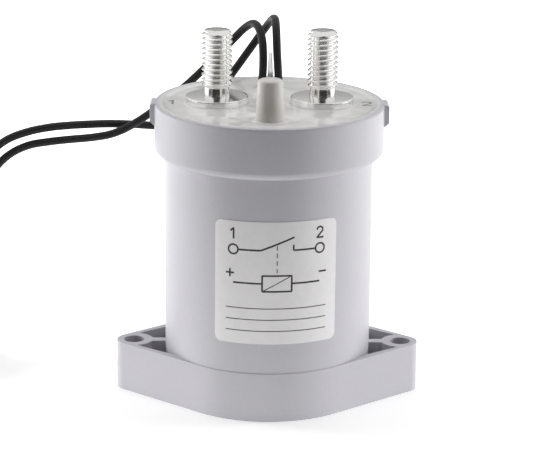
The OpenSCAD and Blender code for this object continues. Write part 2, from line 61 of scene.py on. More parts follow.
WELD = 0.0002
LINE_STEP = 0.8

# Angles in degrees from which an edge stays sharp.
CREASE = 40.0
ROUND_CREASE = 50.0
SOFT_CREASE = 60.0

# Places that more than one piece keeps to.
RESIN_Z = 93.1
STUD_X = 16.3
SEAT_R = 9.75
CAP_Y = -22.7
CAP_R = 4.45

Colour = tuple[float, float, float]
Place = tuple[float, float, float]
Pair = tuple[float, float]
Ramp = tuple[Pair, Pair]
Socket = bpy.types.NodeSocket
Source = bpy.types.NodeSocket | float | tuple[float, ...]
log = logging.getLogger("contactor")


@dataclass
class Nodes:
    """A node tree that is being filled: each method adds nodes and gives what they end in."""

    tree: bpy.types.NodeTree

    def fill(self, node: bpy.types.Node, inputs: dict[str | int, Source]) -> bpy.types.Node:
        """Link or set the inputs of a node.

        Args:
            node: the node.
            inputs: the socket to link or the value to set, by an input's name or number.

        Returns:
            The same node.
        """
        for name, source in inputs.items():
            if isinstance(source, Socket):
                self.tree.links.new(source, node.inputs[name])
            else:
                node.inputs[name].default_value = source
        return node

    def add(self, kind: str, inputs: dict[str | int, Source], **settings: str) -> bpy.types.Node:
        """Add a node.

        Args:
            kind: its type, less the word ShaderNode.
            inputs: what its inputs take.
            settings: its other properties.

        Returns:
            The new node.
        """
        node = self.tree.nodes.new(f"ShaderNode{kind}")
        for name, value in settings.items():
            setattr(node, name, value)
        return self.fill(node, inputs)

    def number(self, operation: str, one: Source, other: Source) -> Socket:
        """Work one number out of two."""
        return self.add("Math", {0: one, 1: other}, operation=operation).outputs[0]

    def blend(self, share: Source, low: Source, high: Source) -> Socket:
        """Go from the low number to the high one as the share goes from 0 to 1."""
        return self.add("Mix", {"Factor": share, "A": low, "B": high}).outputs["Result"]

    def axis(self, spot: Socket, name: str) -> Socket:
        """Take one coordinate of a place."""
        return self.add("SeparateXYZ", {0: spot}).outputs[name]

    def matt(self, albedo: float) -> Socket:
        """Make a matt neutral surface that gives back that share of the light."""
        return self.add("BsdfDiffuse", {"Color": (albedo, albedo, albedo, 1.0)}).outputs[0]

    def rays(self, *kinds: str) -> Socket:
        """Give 1 for rays of the named kinds, and 0 for the rest.

        Args:
            kinds: names of the light path's outputs.

        Returns:
            The socket that carries the number.
        """
        path = self.add("LightPath", {})
        value = path.outputs[kinds[0]]
        for kind in kinds[1:]:
            value = self.number("MAXIMUM", value, path.outputs[kind])
        return value

    def ramp(self, value: Source, span: Pair, to: Pair) -> Socket:
        """Change smoothly between two numbers, over a span of the value that drives it."""
        ends = dict(zip(("From Min", "From Max", "To Min", "To Max"), (*span, *to)))
        return self.add("MapRange", {"Value": value, **ends}, interpolation_type="SMOOTHSTEP").outputs[0]

    def rings(self, spot: Socket, at: Pair, span: Pair, to: Pair) -> Socket:
        """Change smoothly between two numbers, over a span of distances from a point of the floor."""
        away = self.add("VectorMath", {0: spot, 1: (at[0] * MM, at[1] * MM, 0.0)}, operation="DISTANCE")
        return self.ramp(away.outputs["Value"], (span[0] * MM, span[1] * MM), to)


class Pattern(Enum):
    """How a finish varies over its surface."""

    GRAIN = "fine even noise, as on moulded plastic"
    CLOUDS = "broad soft patches, as in cast resin"
    TURNED = "rings round an upright axis, as a lathe leaves"
    DRAWN = "long streaks along Z, as on drawn metal"
    # RISING is used only on the header plate, where it makes the pin darker at its foot than at its tip.
    RISING = "one tone below a height and one above it, as in a dipped pin"


# What all finishes share: where the two tones lie in the pattern, and the numbers of its nodes.
TONE_ENDS = (0.25, 0.75)
COAT_ROUGH = 0.08
DEPTH_WEIGHT = 0.25
LEAST_DEPTH = 0.1
RING_SCALE = 0.314
RING_WAVER = 1.5
RING_DETAIL = 3.0
RISE_HALF = 0.6
STREAK = 0.05
GRAIN_DETAIL = 2.0
BROAD_DETAIL = 4.0


@dataclass(frozen=True)
class Finish:
    """A procedural finish: two tones, a roughness range and a relief that follow one pattern.

    Attributes:
        name: the material's name.
        slot: a material slot's name, which nothing here reads.
        deep: linear colour in the pattern's lows.
        tone: linear colour in its highs.
        rough: roughness in its lows and highs.
        pattern: how the surface varies.
        size: the pattern's size, or the height at which a rising one turns.
        relief: height of the bump.
        metal: metallic share.
        specular: specular level.
        coat: weight of a clear coat.
        depth: reach of light under the surface.
        clear: share of light let through.
        centre: axis of a turned pattern.
    """

    name: str
    slot: str
    deep: Colour
    tone: Colour
    rough: Pair
    pattern: Pattern = Pattern.GRAIN
    size: float = 0.5
    relief: float = 0.01
    metal: float = 0.0
    specular: float = 0.5
    coat: float = 0.0
    depth: float = 0.0
    clear: float = 0.0
    centre: Pair = (0.0, 0.0)

    def material(self) -> bpy.types.Material:
        """Make the material once, or find it.

        Returns:
            The finished material.
        """
        made = bpy.data.materials.get(self.name)
        if made:
            return made
        made = bpy.data.materials.new(self.name)
        made.use_nodes = True
        nodes = Nodes(made.node_tree)
        value = self.value(nodes)
        ramp = nodes.add("ValToRGB", {"Fac": value})
        for stop, place, colour in zip(ramp.color_ramp.elements, TONE_ENDS, (self.deep, self.tone)):
            stop.position = place
            stop.color = (*colour, 1.0)
        gloss = nodes.add("MapRange", {"Value": value, "To Min": self.rough[0], "To Max": self.rough[1]})
        bump = nodes.add("Bump", {"Height": value, "Strength": 1.0, "Distance": self.relief * MM})
        nodes.fill(made.node_tree.nodes["Principled BSDF"], {
            "Base Color": ramp.outputs["Color"],
            "Roughness": gloss.outputs["Result"],
            "Normal": bump.outputs["Normal"],
            "Metallic": self.metal,
            "Specular IOR Level": self.specular,
            "Coat Weight": self.coat,
            "Coat Roughness": COAT_ROUGH,
            "Subsurface Weight": DEPTH_WEIGHT if self.depth else 0.0,
            "Subsurface Scale": max(self.depth, LEAST_DEPTH) * MM,
            "Subsurface Radius": (1.0, 1.0, 1.0),
            "Transmission Weight": self.clear,
        })
        return made

    def value(self, nodes: Nodes) -> Socket:
        """Add the pattern's nodes on Object coordinates.

        Args:
            nodes: the material's nodes.

        Returns:
            The socket that carries the pattern, from 0 to 1.
        """
        spot = nodes.add("TexCoord", {}).outputs["Object"]
        if self.pattern is Pattern.RISING:
            ends = {"From Min": (self.size - RISE_HALF) * MM, "From Max": (self.size + RISE_HALF) * MM}
            return nodes.add("MapRange", {"Value": nodes.axis(spot, "Z"), **ends}).outputs["Result"]
        mapping = nodes.add("Mapping", {"Vector": spot})
        place = {"Vector": mapping.outputs["Vector"]}
        if self.pattern is Pattern.TURNED:
            nodes.fill(mapping, {"Location": (-self.centre[0] * MM, -self.centre[1] * MM, 0.0)})
            look = {"Scale": RING_SCALE / (self.size * MM), "Distortion": RING_WAVER, "Detail": RING_DETAIL}
            wave = nodes.add("TexWave", {**place, **look}, wave_type="RINGS", rings_direction="Z")
            return wave.outputs["Fac"]
        if self.pattern is Pattern.DRAWN:
            nodes.fill(mapping, {"Scale": (1.0, 1.0, STREAK)})
        detail = GRAIN_DETAIL if self.pattern is Pattern.GRAIN else BROAD_DETAIL
        look = {"Scale": 1.0 / (self.size * MM), "Detail": detail}
        return nodes.add("TexNoise", {**place, **look}).outputs["Fac"]


HOUSING_GREY = Finish(
    "moulded grey plastic", "housing_plastic", (0.545, 0.535, 0.575), (0.585, 0.575, 0.617), (0.36, 0.46),
    size=0.45, relief=0.006, specular=0.55,
)
CAP_GREY = Finish(
    "warm grey cap", "pale_plastic", (0.63, 0.605, 0.572), (0.69, 0.665, 0.632), (0.28, 0.36),
    size=0.6, relief=0.004, depth=0.6,
)
# Dark grey below 97.6 mm and pale above 98.8 mm, so the pin's foot is darker than its tip.
HEADER_PALE = Finish(
    "milky header plastic", "pale_plastic", (0.30, 0.30, 0.305), (0.78, 0.78, 0.78), (0.30, 0.38),
    Pattern.RISING, size=98.2, relief=0.0, clear=0.75,
)
RESIN_GREY = Finish(
    "cast resin", "resin", (0.73, 0.725, 0.714), (0.85, 0.845, 0.832), (0.05, 0.14),
    Pattern.CLOUDS, size=6.0, relief=0.06,
)
TIN_PLATE = Finish(
    "bright tin plate", "plated_metal", (0.80, 0.79, 0.77), (0.87, 0.86, 0.845), (0.10, 0.17),
    Pattern.TURNED, size=0.35, relief=0.0015, metal=1.0,
)
SEAT_PLATE = Finish(
    "faced tin plate", "plated_metal", (0.84, 0.835, 0.825), (0.90, 0.895, 0.885), (0.10, 0.18),
    Pattern.TURNED, size=0.30, relief=0.0015, metal=1.0,
)
SLEEVE_BLACK = Finish(
    "black lead sleeve", "lead_black", (0.018, 0.0172, 0.0185), (0.030, 0.0288, 0.031), (0.32, 0.52),
    Pattern.CLOUDS, size=0.9, relief=0.02, specular=0.2,
)
TIE_BLACK = Finish(
    "black nylon tie", "lead_black", (0.012, 0.012, 0.013), (0.020, 0.020, 0.021), (0.38, 0.50), size=0.4,
)
STRAND_TIN = Finish(
    "tinned strands", "plated_metal", (0.66, 0.65, 0.62), (0.80, 0.79, 0.77), (0.22, 0.34),
    size=0.3, metal=1.0,
)
LABEL_WHITE = Finish(
    "white label film", "label_white", (0.86, 0.845, 0.85), (0.90, 0.885, 0.89), (0.30, 0.40),
    Pattern.CLOUDS, size=2.2, relief=0.004,
)
LABEL_INK = Finish(
    "label ink", "label_white", (0.020, 0.020, 0.022), (0.034, 0.034, 0.036), (0.45, 0.58),
    size=0.15, relief=0.002,
)
MARK_GREY = Finish(
    "grey marking ink", "label_white", (0.16, 0.16, 0.165), (0.24, 0.24, 0.245), (0.45, 0.58),
    size=0.4, relief=0.002,
)
IRON = Finish(
    "soft iron", "soft_iron", (0.28, 0.285, 0.295), (0.40, 0.405, 0.415), (0.32, 0.46),
    Pattern.TURNED, relief=0.003, metal=1.0,
)
COPPER = Finish(
    "rolled copper", "copper", (0.72, 0.34, 0.20), (0.86, 0.46, 0.30), (0.22, 0.36),
    Pattern.CLOUDS, size=1.6, relief=0.003, metal=1.0,
)
CONTACT_SILVER = Finish(
    "contact silver", "contact_silver", (0.78, 0.77, 0.74), (0.90, 0.89, 0.86), (0.24, 0.38),
    Pattern.CLOUDS, size=0.8, relief=0.003, metal=1.0,
)
WINDING = Finish(
    "enamelled winding", "winding_wire", (0.30, 0.08, 0.03), (0.62, 0.22, 0.09), (0.20, 0.34),
    Pattern.DRAWN, size=0.4, relief=0.05, metal=0.6, coat=0.3,
)
SPRING_STEEL = Finish(
    "spring steel", "spring_steel", (0.42, 0.42, 0.43), (0.56, 0.56, 0.57), (0.22, 0.34), size=0.3, metal=1.0,
)
MAGNET = Finish(
    "nickel plated magnet", "magnet", (0.52, 0.51, 0.48), (0.64, 0.63, 0.60), (0.16, 0.26),
    Pattern.CLOUDS, size=1.2, relief=0.002, metal=1.0,
)
CHAMBER_DARK = Finish(
    "dark chamber plastic", "dark_plastic", (0.035, 0.035, 0.038), (0.055, 0.055, 0.058), (0.45, 0.58),
)

# The solids that are shown as they were built, by their finish.
SOLIDS: dict[Finish, tuple[str, ...]] = {
    HEADER_PALE: ("header_plate",),
    CONTACT_SILVER: ("contact_tip_left", "contact_tip_right", "moving_tips"),
    CHAMBER_DARK: ("arc_chamber", "coil_bobbin", "insulating_bush"),
    MAGNET: ("front_magnet", "rear_magnet"),
    IRON: ("pole_plate", "yoke_can", "fixed_core", "plunger"),
    WINDING: ("coil_winding",),
    TIN_PLATE: ("plunger_cup",),
    SPRING_STEEL: ("plunger_shaft", "stop_washer", "retaining_ring"),
    COPPER: ("moving_contact", "fill_tube"),
    SLEEVE_BLACK: ("lead_tails",),
    TIE_BLACK: ("coil_tie",),
}


@dataclass(frozen=True)
class Surface:
    """Points in millimetres, and the quads between them."""

    points: np.ndarray
    faces: np.ndarray

    @staticmethod
    def grid(points: np.ndarray) -> "Surface":
        """Stretch quads over a grid of points.

        Args:
            points: the grid, of shape (rows, columns, 3).

        Returns:
            The sheet of quads.
        """
        rows, columns = points.shape[:2]
        corner = (np.arange(rows - 1)[:, None] * columns + np.arange(columns - 1)).reshape(-1, 1)
        return Surface(points.reshape(-1, 3), corner + np.array([0, 1, columns + 1, columns]))

    @staticmethod
    def joined(parts: list["Surface"]) -> "Surface":
        """Put several surfaces into one.

        Args:
            parts: the surfaces.

        Returns:
            One surface that holds them all.
        """
        starts = np.cumsum([0] + [len(part.points) for part in parts[:-1]])
        faces = [part.faces + start for part, start in zip(parts, starts)]
        return Surface(np.vstack([part.points for part in parts]), np.vstack(faces))

    def piece(self, name: str, finish: Finish, crease: float = CREASE, body: str = BODY) -> bpy.types.Object:
        """Make the surface a piece of the contactor: weld its seams, turn its faces out and dress it.

        Args:
            name: the piece's name.
            finish: its finish.
            crease: angle in degrees from which an edge stays sharp.
            body: the body it rides on.

        Returns:
            The new object.
        """
        mesh = bpy.data.meshes.new(name)
        mesh.from_pydata((self.points * MM).tolist(), [], self.faces.tolist())
        shell = bmesh.new()
        shell.from_mesh(mesh)
        bmesh.ops.remove_doubles(shell, verts=shell.verts, dist=WELD * MM)
        bmesh.ops.recalc_face_normals(shell, faces=shell.faces)
        shell.to_mesh(mesh)
        shell.free()
        return dressed(name, mesh, finish, crease, body)


def dressed(
    name: str, mesh: bpy.types.Mesh, finish: Finish, crease: float, body: str = BODY
) -> bpy.types.Object:
    """Put a mesh into the scene as a piece of the contactor.

    Args:
        name: the piece's name.
        mesh: its mesh, in place.
        finish: its finish.
        crease: angle in degrees from which an edge stays sharp.
        body: the body it rides on.

    Returns:
        The new object.
    """
    mesh.materials.clear()
    mesh.materials.append(finish.material())
    mesh.shade_smooth()
    mesh.set_sharp_from_angle(angle=math.radians(crease))
    made = bpy.data.objects.new(name, mesh)
    bpy.context.scene.collection.objects.link(made)
    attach(made, body)
    log.info("%s: %d faces, %s", name, len(mesh.polygons), finish.name)
    return made


def polar(radius: np.ndarray, angle: np.ndarray, at: Pair = (0.0, 0.0)) -> list[np.ndarray]:
    """Give x and y at a distance and an angle round a point."""
    return [at[0] + radius * np.cos(angle), at[1] + radius * np.sin(angle)]


def eased(profile: np.ndarray, radii: list[float], steps: int = 5) -> np.ndarray:
    """Round the corners of an open outline.

    Each corner becomes a quadratic curve from a point one radius before it to one a radius after.

    Args:
        profile: corners, of shape (n, 2).
        radii: one radius for each corner; 0 leaves it sharp.
        steps: points on each rounded corner.

    Returns:
        The eased outline.
    """
    t = np.linspace(0.0, 1.0, steps)[:, None]
    runs = []
    for i, radius in enumerate(radii):
        if radius == 0:
            runs.append(profile[i : i + 1])
            continue
        back = profile[i - 1] - profile[i]
        on = profile[i + 1] - profile[i]
        start = profile[i] + back / np.linalg.norm(back) * radius
        end = profile[i] + on / np.linalg.norm(on) * radius
        runs.append((1 - t) ** 2 * start + 2 * t * (1 - t) * profile[i] + t**2 * end)
    return np.vstack(runs)


def turned(profile: np.ndarray, at: Pair, sides: int) -> np.ndarray:
    """Turn an outline round an upright axis.

    A point (r, z) of the outline at angle a lies at (x + r cos a, y + r sin a, z).

    Args:
        profile: outline as radius and height, of shape (n, 2).
        at: x and y of the axis.
        sides: steps round the axis.

    Returns:
        Grid of points, of shape (n, sides + 1, 3).
    """
    angle = np.linspace(0.0, FULL_TURN, sides + 1)
    radius, height = profile[:, :1], profile[:, 1:]
    return np.stack([*polar(radius, angle, at), height + 0 * angle], axis=-1)


def swept(path: np.ndarray, side: np.ndarray, up: np.ndarray, section: np.ndarray) -> Surface:
    """Carry a closed section along a path and close both ends.

    Each ring is the path's point plus the section's two coordinates along side and up. The first
    and last rings shrink to the path's ends.

    Args:
        path: points of shape (n, 3).
        side: unit vectors across the path, of shape (n, 3).
        up: unit vectors across both, of shape (n, 3).
        section: closed section, first point repeated, of shape (k, 2) or (n, k, 2).

    Returns:
        The closed tube.
    """
    section = np.broadcast_to(section, (len(path), *section.shape[-2:]))
    rings = (
        path[:, None]
        + section[..., :1] * side[:, None]
        + section[..., 1:] * up[:, None]
    )
    ends = np.broadcast_to(path[[0, -1], None], (2, rings.shape[1], 3))
    return Surface.grid(np.concatenate([ends[:1], rings, ends[1:]]))


def unit(v: np.ndarray) -> np.ndarray:
    """Scale the vectors along the last axis to length 1."""
    return v / np.linalg.norm(v, axis=-1, keepdims=True)


def smooth_path(points: np.ndarray, steps: int = 12) -> np.ndarray:
    """Draw one smooth curve through points.

    It is a centripetal Catmull-Rom curve: each span is a cubic whose end slopes come from the
    neighbouring points, weighted by the square roots of the distances between them.

    Args:
        points: what the curve passes through, of shape (n, 3).
        steps: points on each span.

    Returns:
        Points on the curve.
    """
    p = np.vstack([2 * points[0] - points[1], points, 2 * points[-1] - points[-2]])
    root = np.sqrt(np.linalg.norm(np.diff(p, axis=0), axis=1))[:, None]
    p0, p1, p2, p3 = p[:-3], p[1:-2], p[2:-1], p[3:]
    d0, d1, d2 = root[:-2], root[1:-1], root[2:]
    slope_1 = p2 - p1 + d1 * ((p1 - p0) / d0 - (p2 - p0) / (d0 + d1))
    slope_2 = p2 - p1 + d1 * ((p3 - p2) / d2 - (p3 - p1) / (d1 + d2))
    t = np.linspace(0.0, 1.0, steps, endpoint=False)[None, :, None]
    curve = (
        (2 * t**3 - 3 * t**2 + 1) * p1[:, None]
        + (t**3 - 2 * t**2 + t) * slope_1[:, None]
        + (3 * t**2 - 2 * t**3) * p2[:, None]
        + (t**3 - t**2) * slope_2[:, None]
    )
    return np.vstack([curve.reshape(-1, 3), points[-1:]])


def distances(path: np.ndarray) -> np.ndarray:
    """Measure how far along a path each of its points lies."""
    return np.concatenate([[0.0], np.cumsum(np.linalg.norm(np.diff(path, axis=0), axis=1))])


def spaced(path: np.ndarray, at: np.ndarray) -> np.ndarray:
    """Find the points of shape (len(at), 3) that lie at given distances along a path."""
    gone = distances(path)
    return np.stack([np.interp(at, gone, path[:, k]) for k in range(3)], axis=1)


def drawn_line(corners: list[Pair], width: float, low: float, high: float) -> Surface:
    """Draw one line lying flat: a bar carried along a polyline.

    Args:
        corners: places across and up.
        width: the line's width.
        low: height of its underside.
        high: height of its face.

    Returns:
        The line as a thin closed bar.
    """
    line = np.column_stack([np.array(corners, float), np.zeros(len(corners))])
    gone = distances(line)
    at = np.union1d(np.linspace(0.0, gone[-1], max(2, int(gone[-1] / LINE_STEP))), gone)
    line = spaced(line, at)
    ahead = unit(np.gradient(line, axis=0))
    across = np.stack([-ahead[:, 1], ahead[:, 0], 0 * at], axis=1)
    up = np.tile((0.0, 0.0, 1.0), (len(at), 1))
    half = width / 2
    bar = np.array([(-half, low), (half, low), (half, high), (-half, high), (-half, low)])
    return swept(line, across, up, bar)


def soft_step(x: np.ndarray, low: float, high: float) -> np.ndarray:
    """Rise from 0 at low to 1 at high along a smooth S."""
    t = np.clip((x - low) / (high - low), 0.0, 1.0)
    return t * t * (3 - 2 * t)


def round_section(radius: float, sides: int) -> np.ndarray:
    """Give a closed circle of that radius, first point repeated, of shape (sides + 1, 2)."""
    angle = np.linspace(0.0, FULL_TURN, sides + 1)
    return np.stack(polar(radius, angle), axis=1)


# Free routes of the two coil leads, from the resin to the stored turns.
LEFT_ROUTE = [
    (-2.4, 20, 93.1), (-2.15, 20, 97), (-1.97, 20, 101), (-2.03, 20.7, 105.1),
    (-2.3, 22.1, 108.1), (-2.9, 23.9, 110.3), (-3.8, 26.5, 111.75), (-5, 29.3, 112.05),
    (-6.5, 31.7, 111.1), (-8.2, 33.4, 109.5), (-9.9, 34.35, 107.6), (-11.85, 34.8, 105.45),
    (-16.65, 34.5, 100.45), (-21.8, 33.9, 95.3), (-27, 33.6, 90.4), (-32.85, 33.6, 85.55),
    (-38.75, 33.6, 81.05), (-43.55, 33.6, 77.8), (-47.45, 33.6, 75.6), (-51.35, 33.6, 74.1),
    (-55.25, 33.6, 73.3), (-59.2, 33.5, 72.8), (-65.2, 33.2, 72.3), (-71.2, 33, 71.6),
    (-78, 33, 70.3), (-84.2, 33, 67.2), (-89.2, 33, 62.1), (-92.3, 33, 55.4), (-93.5, 33, 47.5),
    (-93.5, 33, 38), (-93.5, 33, 28), (-93.5, 33, 20), (-93.5, 32.6, 15), (-93.5, 30.8, 9.8),
    (-93.5, 27.4, 6.3), (-93.5, 22.5, 4.8),
]
RIGHT_ROUTE = [
    (3, 20, 93.1), (2.9, 20, 97), (2.65, 20, 101), (2.42, 20.45, 104.6), (2.25, 21.7, 108.2),
    (2.13, 23.45, 110.75), (2, 25.6, 112.4), (1.85, 28.3, 113.4), (1.4, 31.4, 113.35),
    (0.6, 34.2, 112.2), (-0.35, 36.05, 110.6), (-1.35, 37.25, 108.9), (-3.25, 38.35, 106.05),
    (-6, 38.65, 102), (-8.9, 38.35, 97.9), (-11.8, 38.1, 93.8), (-15.05, 38.6, 89),
    (-19.05, 39.3, 83.45), (-23.9, 39.6, 79.05), (-29.7, 39.5, 76.55), (-36.2, 38.9, 75.85),
    (-43.9, 38.2, 76.35), (-51.7, 37.2, 76.75), (-59.4, 35.9, 76.75), (-65.2, 34.7, 76.65),
    (-71, 33.7, 76.25), (-78, 33.2, 74.85), (-85, 33, 72.1), (-91, 33, 67), (-94.8, 33, 60),
    (-96.3, 33, 51.5), (-96.3, 33, 42), (-96.3, 33, 31), (-96.3, 33, 20), (-96.3, 32.6, 15),
    (-96.3, 30.8, 9.8), (-96.3, 27.4, 6.3), (-96.3, 22.5, 4.8),
]

# Strokes of two plain figures, from their middles.
FIGURE_1 = [(-0.8, 0.7), (0.2, 1.7), (0.2, -1.7)]
FIGURE_2 = [(-1.2, 0.8), (-0.8, 1.5), (0.0, 1.7), (0.8, 1.2), (0.8, 0.4), (-1.2, -1.7), (1.1, -1.7)]


def moved(figure: list[Pair], x: float, y: float, size: float = 1.0) -> list[Pair]:
    """Put a figure's middle at a place, at a size."""
    return [(x + size * across, y + size * up) for across, up in figure]


def set_up(name: str, data: bpy.types.ID, axes: tuple[np.ndarray, ...], at: Place) -> bpy.types.Object:
    """Put a camera or a lamp into the scene.

    Args:
        name: its name.
        data: its camera or light data.
        axes: unit vectors to its right, up and to its back.
        at: where it stands.

    Returns:
        The new object.
    """
    turn = np.eye(4)
    turn[:3] = np.stack([*axes, np.array(at) * MM], axis=1)
    made = bpy.data.objects.new(name, data)
    made.matrix_world = Matrix(turn.tolist())
    bpy.context.scene.collection.objects.link(made)
    return made


@dataclass(frozen=True)
class Softbox:
    """A soft rectangular lamp, left out of reflections, which show the white surround."""

    name: str
    at: Place
    size: Pair
    watts: float
    towards: Place = (0.0, 0.0, 60.0)
    upright: Place = (0.0, 1.0, 0.1)

    def hang(self) -> None:
        """Hang the lamp so that it faces its point."""
        data = bpy.data.lights.new(self.name, "AREA")
        data.shape = "RECTANGLE"
        data.size = self.size[0] * MM
        data.size_y = self.size[1] * MM
        data.energy = self.watts
        back = unit(np.array(self.at) - np.array(self.towards))
        right = unit(np.cross(self.upright, back))
        set_up(self.name, data, (right, np.cross(back, right), back), self.at).visible_glossy = False


@dataclass
class Studio:
    """Floor, soft light, white surround and the camera of the photograph.

    On the floor, ends are distances from a point. In the surround, a ramp is the span of a
    direction's Y or Z, from -1 to 1, and the levels at its ends.
    """

    eye: Place = (-6.373, -738.133, 271.002)
    azimuth: float = -0.537
    elevation: float = 16.406
    roll: float = 0.608
    focal_px: float = 2446.4
    clip: Pair = (10.0, 50000.0)
    floor_half: float = 3000.0
    floor_albedo: float = 0.92
    floor_glow: float = 0.34
    front_albedo: float = 0.05
    sweep_ends: Pair = (-275.0, -225.0)
    white_at: Pair = (40.0, 0.0)
    white_from: Pair = (90.0, 330.0)
    fill_at: Pair = (-70.0, -30.0)
    fill_ends: Pair = (55.0, 125.0)
    fill: float = 0.32
    wide_ends: Pair = (120.0, 300.0)
    wide_fill: float = 0.37
    hole_at: Pair = (42.35, 0.0)
    hole_ends: Pair = (3.5, 5.0)
    strip: Ramp = ((-0.80, -0.69), (0.05, 0.88))
    wall: Ramp = ((0.20, 0.38), (0.42, 1.0))
    behind: Ramp = ((0.55, 0.85), (0.0, 1.0))
    front: Ramp = ((-0.90, -0.30), (0.056, 0.464))
    low: Ramp = ((0.12, 0.60), (0.54, 0.86))
    rear: Ramp = ((0.15, 0.80), (1.0, 0.35))
    lamps: tuple[Softbox, ...] = (
        Softbox("left softbox", (-760.0, 280.0, 170.0), (300.0, 200.0), 4.6),
        Softbox("right softbox", (760.0, 120.0, 170.0), (300.0, 200.0), 3.75),
        Softbox("overhead softbox", (0.0, 150.0, 900.0), (700.0, 500.0), 3.1),
    )

    def build(self) -> None:
        """Set up everything that isn't part of the contactor."""
        bpy.context.scene.view_settings.view_transform = "Standard"
        self.camera()
        self.floor()
        self.world()
        for lamp in self.lamps:
            lamp.hang()

    def camera(self) -> None:
        """Place the camera: it looks along its own axis, rolled a little, from the eye."""
        az, el, roll = (math.radians(a) for a in (self.azimuth, self.elevation, self.roll))
        back = np.array([math.sin(az) * math.cos(el), -math.cos(az) * math.cos(el), math.sin(el)])
        right = unit(np.cross(-back, (0.0, 0.0, 1.0)))
        up = np.cross(right, -back)
        c, s = math.cos(roll), math.sin(roll)
        data = bpy.data.cameras.new("camera")
        data.sensor_fit = "HORIZONTAL"
        data.sensor_width = SENSOR_W
        data.lens = self.focal_px * SENSOR_W / IMAGE_W
        data.clip_start = self.clip[0] * MM
        data.clip_end = self.clip[1] * MM
        axes = (c * right + s * up, c * up - s * right, back)
        bpy.context.scene.camera = set_up("camera", data, axes, self.eye)

    def floor(self) -> None:
        """Lay a pale floor that keeps the shadow and looks white around it.

        What isn't the camera meets a pale sweep that ends in front, as a tabletop does. Near the
        foot of the object it gives a soft fill from below, apart from under the bolt holes.
        """
        half = self.floor_half * MM
        mesh = bpy.data.meshes.new("floor")
        corners = [(-half, -half, 0.0), (half, -half, 0.0), (half, half, 0.0), (-half, half, 0.0)]
        mesh.from_pydata(corners, [], [(0, 1, 2, 3)])
        made = bpy.data.objects.new("floor", mesh)
        bpy.context.scene.collection.objects.link(made)
        material = bpy.data.materials.new("pale floor")
        material.use_nodes = True
        material.node_tree.nodes.clear()
        nodes = Nodes(material.node_tree)
        spot = nodes.add("TexCoord", {}).outputs["Object"]
        mirrored = nodes.add("VectorMath", {0: spot}, operation="ABSOLUTE").outputs[0]
        far = nodes.rings(spot, self.white_at, self.white_from, (self.floor_glow, 1.0))
        close = nodes.rings(spot, self.fill_at, self.fill_ends, (self.fill, 0.0))
        wide = nodes.rings(spot, (0.0, 0.0), self.wide_ends, (self.wide_fill, 0.0))
        covered = nodes.rings(mirrored, self.hole_at, self.hole_ends, (0.0, 1.0))
        near = nodes.number("MULTIPLY", nodes.number("ADD", close, wide), covered)
        seen = nodes.rays("Is Camera Ray", "Is Glossy Ray", "Is Transmission Ray")
        glow = nodes.add("Emission", {"Strength": nodes.blend(seen, near, far)})
        lit = nodes.add("AddShader", {0: nodes.matt(self.floor_albedo), 1: glow.outputs[0]})
        sweep = nodes.ramp(nodes.axis(spot, "Y"), tuple(y * MM for y in self.sweep_ends), (0.0, 1.0))
        share = nodes.number("MAXIMUM", sweep, nodes.rays("Is Camera Ray"))
        both = nodes.add("MixShader", {"Fac": share, 1: nodes.matt(self.front_albedo), 2: lit.outputs[0]})
        nodes.add("OutputMaterial", {"Surface": both.outputs[0]})
        mesh.materials.append(material)

    def world(self) -> None:
        """Surround the scene with white as the camera sees it.

        Matt surfaces get less light from straight in front, from low down and from the rear.
        Polished ones see a dark strip in front with sharp sides, and a grey wall low at the back.
        """
        world = bpy.data.worlds.new("studio")
        bpy.context.scene.world = world
        world.use_nodes = True
        world.node_tree.nodes.clear()
        nodes = Nodes(world.node_tree)
        spot = nodes.add("TexCoord", {}).outputs["Generated"]
        y, z = nodes.axis(spot, "Y"), nodes.axis(spot, "Z")
        wall = nodes.blend(nodes.ramp(y, *self.behind), 1.0, nodes.ramp(z, *self.wall))
        shown = nodes.number("MULTIPLY", nodes.ramp(y, *self.strip), wall)
        cast = nodes.number("MULTIPLY", nodes.ramp(y, *self.front), nodes.ramp(z, *self.low))
        cast = nodes.number("MULTIPLY", cast, nodes.ramp(y, *self.rear))
        level = nodes.blend(nodes.rays("Is Diffuse Ray"), shown, cast)
        strength = nodes.blend(nodes.rays("Is Camera Ray"), level, 1.0)
        sky = nodes.add("Background", {"Color": (1.0, 1.0, 1.0, 1.0), "Strength": strength})
        nodes.add("OutputWorld", {"Surface": sky.outputs[0]})


